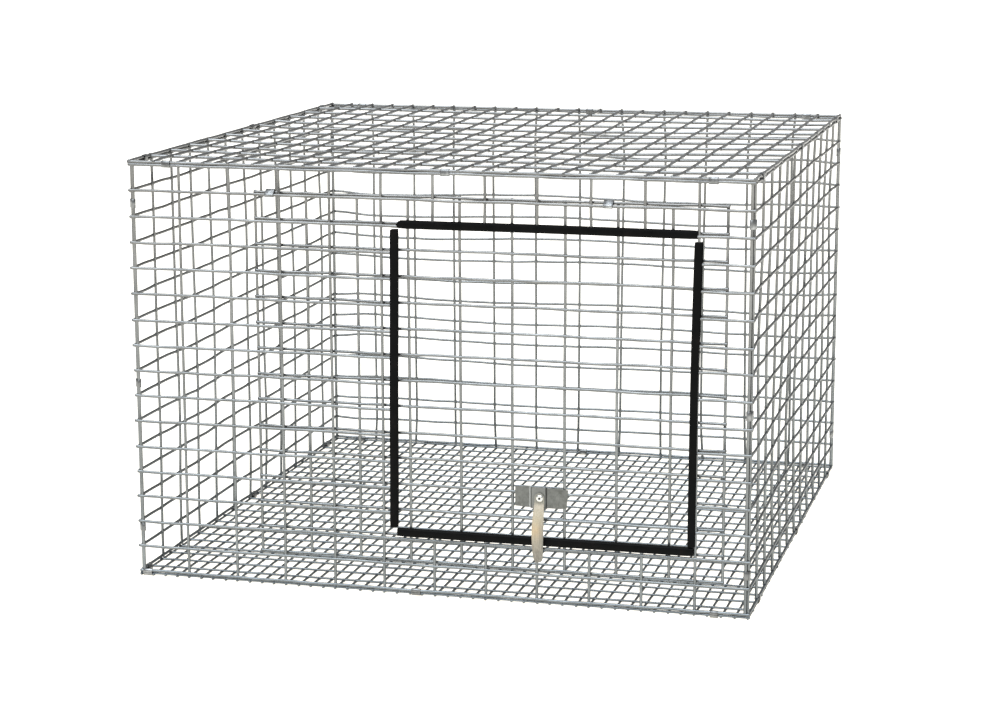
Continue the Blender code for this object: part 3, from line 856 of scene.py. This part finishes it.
def latch_plate(material):
    """Pressed plate: two flat wings and a raised channel with soft bends, its right wing cut a little low."""
    low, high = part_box("latch_plate")
    pivot_x = joint_place("latch_turn").x
    thick = 0.8 * MM
    rise = high.y - low.y - thick
    foot_left, brow_left = pivot_x - 10.4 * MM, pivot_x - 9.4 * MM
    brow_right, foot_right = pivot_x + 5.1 * MM, pivot_x + 6.2 * MM
    right_end = high.x - 1.2 * MM
    wing = 9 * MM
    corners = [
        (low.x, 0.0), (foot_left, 0.0), (brow_left, rise), (brow_left + 0.9 * MM, rise),
        (pivot_x, rise), (brow_right, rise), (foot_right, 0.0), (right_end - wing, 0.0), (right_end, 0.0),
    ]
    middle_z = (low.z + high.z) / 2
    half_z = (high.z - low.z) / 2 - 0.3 * MM
    corner, corner_drop = 0.9 * MM, 0.8 * MM
    rows = 14
    rings, fold_lights = [], []
    for x, out in soften(corners, 0.5 * MM):
        # Painted light and shade on the bends, from 1 for a painted highlight to -1 for painted shade; the
        # channel is painted a little lighter.
        if foot_left - 0.3 * MM < x < brow_left:
            fold_light = 1.0
        elif brow_left + 0.3 * MM < x < brow_left + 1.2 * MM:
            fold_light = -0.8
        elif brow_right + 0.2 * MM < x < foot_right:
            fold_light = -1.0
        elif brow_left < x < brow_right:
            fold_light = 0.10
        else:
            fold_light = 0.0
        drop = 1.2 * MM * ease(brow_right, 1.4 * MM, x)
        taper = 1.6 * MM * ease(right_end - wing, wing, x)
        trim = corner_drop * rounded(max(0.0, 1.0 - min(x - low.x, right_end - x) / corner))
        bottom, top = middle_z - half_z + trim, middle_z + half_z - trim - drop
        ring = []
        for face in (0, 1):
            for index in range(rows + 1):
                share = index / rows if face == 0 else 1 - index / rows
                dish = 0.06 * MM * math.sin(math.pi * share)
                y = high.y - out - (thick - dish if face == 0 else 0.0) + 0.02 * MM
                ring.append(Vector((x - taper * (1 - share), y, bottom + (top - bottom) * share)))
        fold_lights += [fold_light] * len(ring)
        rings.append(ring)
    points, faces = loft(rings)
    piece = make_piece(
        "latch_hat_plate", points, faces, material, "door", ("latch_plate",),
        {"fold_light": fold_lights},
    )
    bevel(piece, 0.14 * MM)


def soften(corners, radius, count=5):
    """A polyline with its inner corners rounded by short arcs."""
    path = [corners[0]]
    for before, corner, after in zip(corners, corners[1:], corners[2:]):
        here = Vector(corner)
        into, outof = Vector(before) - here, Vector(after) - here
        reach = min(radius, into.length * 0.45, outof.length * 0.45)
        start, stop = here + into.normalized() * reach, here + outof.normalized() * reach
        for index in range(count):
            share = index / (count - 1)
            point = start * (1 - share) ** 2 + here * (2 * share * (1 - share)) + stop * share ** 2
            path.append(tuple(point))
    path.append(corners[-1])
    return path


def bevel(piece, width):
    modifier = piece.modifiers.new("soft_edges", "BEVEL")
    modifier.width = width
    modifier.segments = 2
    modifier.limit_method = "ANGLE"
    modifier.angle_limit = math.radians(50)


def latch_back_plate(material):
    """Plain strip behind the door's wires, with rounded ends."""
    low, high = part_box("latch_back_plate")
    middle, half = (low + high) / 2, (high - low) / 2
    corner = 2.2 * MM
    columns = 12
    rings = []
    for index in range(columns + 1):
        x = low.x + (high.x - low.x) * index / columns
        reach = half.z - 0.8 * corner * rounded(max(0.0, 1 - min(x - low.x, high.x - x) / corner))
        rings.append([
            Vector((x, middle.y + side_y * half.y, middle.z + side_z * reach))
            for side_z, side_y in ((-1, -1), (1, -1), (1, 1), (-1, 1))
        ])
    points, faces = loft(rings)
    piece = make_piece(
        "latch_back_strip", points, faces, material, "door", ("latch_back_plate",),
    )
    bevel(piece, 0.15 * MM)


def latch_lever(material):
    """Sprung strip: a crowned section lofted down its bow, fuller to the left, with a worn, narrowed tip."""
    low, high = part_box("latch_lever")
    pivot = joint_place("latch_turn")
    above, below = high.z - pivot.z, pivot.z - low.z
    thick = 1.0 * MM
    face = high.y - thick / 2
    lean, bow, crown = 2.6 * MM, 4.5 * MM, 0.42 * MM
    head_length, tip_length = 5.0 * MM, 4.6 * MM
    count = 44
    sides = 18
    rings, shares, spread = [], [], []
    for index in range(count + 1):
        share = index / count
        drop = -above + (above + below) * share
        travel = ease(head_length, below - 1.2 * MM - head_length, drop)
        out = bow * math.sin(math.pi * travel) ** 0.9 + lean * travel
        left = 5.2 + 1.5 * math.sin(math.pi * travel * 0.95)
        right = 4.3 + 0.7 * math.sin(math.pi * travel) - 0.9 * travel ** 3
        from_head, from_tip = (drop + above) / head_length, (below - drop) / tip_length
        narrow = 1.0
        if from_head < 1.0:
            narrow = (1 - rounded(1 - from_head)) ** 0.8
        if from_tip < 1.0:
            narrow = 1 - 0.5 * rounded(1 - from_tip)
        width = max((left + right) / 2 * narrow, 0.9) * MM
        centre = pivot.x + (right - left) / 2 * MM
        ring = []
        for side in range(sides):
            angle = math.tau * side / sides
            x = math.copysign(abs(math.cos(angle)) ** 0.42, math.cos(angle)) * width
            through = math.copysign(abs(math.sin(angle)) ** 0.55, math.sin(angle)) * thick * 0.46
            dome = crown * (1 - (x / width) ** 2) * min(travel * 5, 1.0) * 0.6
            y = face - out - through - dome + 0.25 * MM * travel
            ring.append(Vector((centre + x, y, pivot.z - drop)))
            shares.append(share)
            spread.append(x / width)
        rings.append(ring)
    points, faces = loft(rings)
    make_piece(
        "latch_strip", points, faces, material, "lever", ("latch_lever",),
        {"share": shares, "across": spread},
    )


def latch_rivet(material):
    """Domed head with the pit where its mandrel broke off, shank, and set tail."""
    low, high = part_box("latch_rivet")
    pivot = joint_place("latch_turn")
    radius = (high.x - low.x) / 2
    head, tail = low.y, high.y
    dome = 1.5 * MM
    rim = 1.4 * MM
    shank = 1.6 * MM
    # A level is its y, its radius, and how deep it lies in the pit, which sets how much painted shade it
    # gets.
    levels = [
        (head + 0.60 * MM, 0.3 * MM, 1.0), (head + 0.50 * MM, 0.75 * MM, 1.0),
        (head + 0.10 * MM, 1.15 * MM, 0.8), (head, rim, 0.0),
    ]
    for index in range(1, 8):
        angle = math.pi / 2 * index / 7
        sink = dome * (1 - math.cos(angle)) * 0.93
        levels.append((head + sink, rim + (radius - rim) * math.sin(angle), 0.0))
    levels += [
        (head + dome, radius, 0.0), (head + dome, shank, 0.0), (tail - 0.9 * MM, shank, 0.0),
        (tail - 0.9 * MM, 2.5 * MM, 0.0), (tail - 0.5 * MM, 2.7 * MM, 0.0),
        (tail - 0.12 * MM, 2.4 * MM, 0.0), (tail, 1.9 * MM, 0.0),
    ]
    sides = 32
    angles = [math.tau * side / sides for side in range(sides)]
    points, faces = loft([
        [Vector((pivot.x + r * math.cos(angle), y, pivot.z + r * math.sin(angle))) for angle in angles]
        for y, r, _ in levels
    ])
    make_piece(
        "latch_rivet_body", points, faces, material, "door", ("latch_rivet",),
        {"pit_shade": [pit_shade for _, _, pit_shade in levels for _ in angles]},
    )


# ---------------------------------------------------------------- stage

def stage():
    """Plain pale floor, soft studio light and the camera."""
    mesh = bpy.data.meshes.new("studio_floor")
    corners = [(x * STUDIO_HALF, y * STUDIO_HALF, 0) for x, y in ((-1, -1), (1, -1), (1, 1), (-1, 1))]
    mesh.from_pydata(corners, [], [(0, 1, 2, 3)])
    n = Nodes("floor_paper")
    tint = n.ramp(n.noise(2.0, 2.0), ((0.0, (0.33, 0.335, 0.335)), (1.0, (0.35, 0.35, 0.35))))
    mesh.materials.append(n.set(
        Base_Color=tint, Roughness=0.95, Specular_IOR_Level=0.1,
        Emission_Color=STUDIO_TINT, Emission_Strength=STUDIO_GLOW,
    ))
    floor = bpy.data.objects.new("studio_floor", mesh)
    bpy.context.scene.collection.objects.link(floor)

    world = bpy.data.worlds.new("studio")
    world.use_nodes = True
    bpy.context.scene.world = world
    background = world.node_tree.nodes["Background"]
    background.inputs["Strength"].default_value = WORLD_STRENGTH
    background.inputs["Color"].default_value = (1.0, 1.0, 1.0, 1.0)

    sun = bpy.data.lights.new("overhead", "SUN")
    sun.energy = LAMP_STRENGTH
    sun.color = LAMP_COLOUR
    sun.angle = LAMP_SPREAD
    lamp = bpy.data.objects.new("overhead", sun)
    back = Vector((
        math.sin(LAMP_HEADING) * math.cos(LAMP_HEIGHT),
        -math.cos(LAMP_HEADING) * math.cos(LAMP_HEIGHT),
        math.sin(LAMP_HEIGHT),
    ))
    lamp.rotation_euler = back.to_track_quat("Z", "Y").to_euler()
    lamp.location = back * 4
    bpy.context.scene.collection.objects.link(lamp)

    lens = bpy.data.cameras.new("photo_camera")
    lens.lens = CAMERA_LENS
    lens.clip_end = CAMERA_REACH
    camera = bpy.data.objects.new("photo_camera", lens)
    camera.location = CAMERA_PLACE
    camera.rotation_euler = [math.radians(value) for value in CAMERA_TURN]
    bpy.context.scene.collection.objects.link(camera)
    bpy.context.scene.camera = camera
    bpy.context.scene.view_settings.view_transform = "Standard"


# ---------------------------------------------------------------- the cage

wire_finish = wire_zinc("wire_zinc", 0.60)
# The roof's copy of the same zinc is brighter at a glancing angle, a painted highlight for how the light
# falls on the roof.
roof_finish_painted_bright = wire_zinc("roof_zinc_painted_bright", 0.82)
guard_draw = random.Random(52)
strays = {side: GuardLine(side, guard_draw) for side in GUARD_LEAN}
front_panel(wire_finish, strays)
closed_panels(wire_finish, roof_finish_painted_bright)
door_panel(wire_finish)
clip_finish = clip_zinc()
edge_clips(clip_finish)
hinge_clips(clip_finish)
guards(guard_plastic(), strays)
sheet_finish = sheet_zinc()
latch_plate(sheet_finish)
latch_back_plate(sheet_finish)
latch_rivet(rivet_zinc())
latch_lever(lever_metal())
stage()
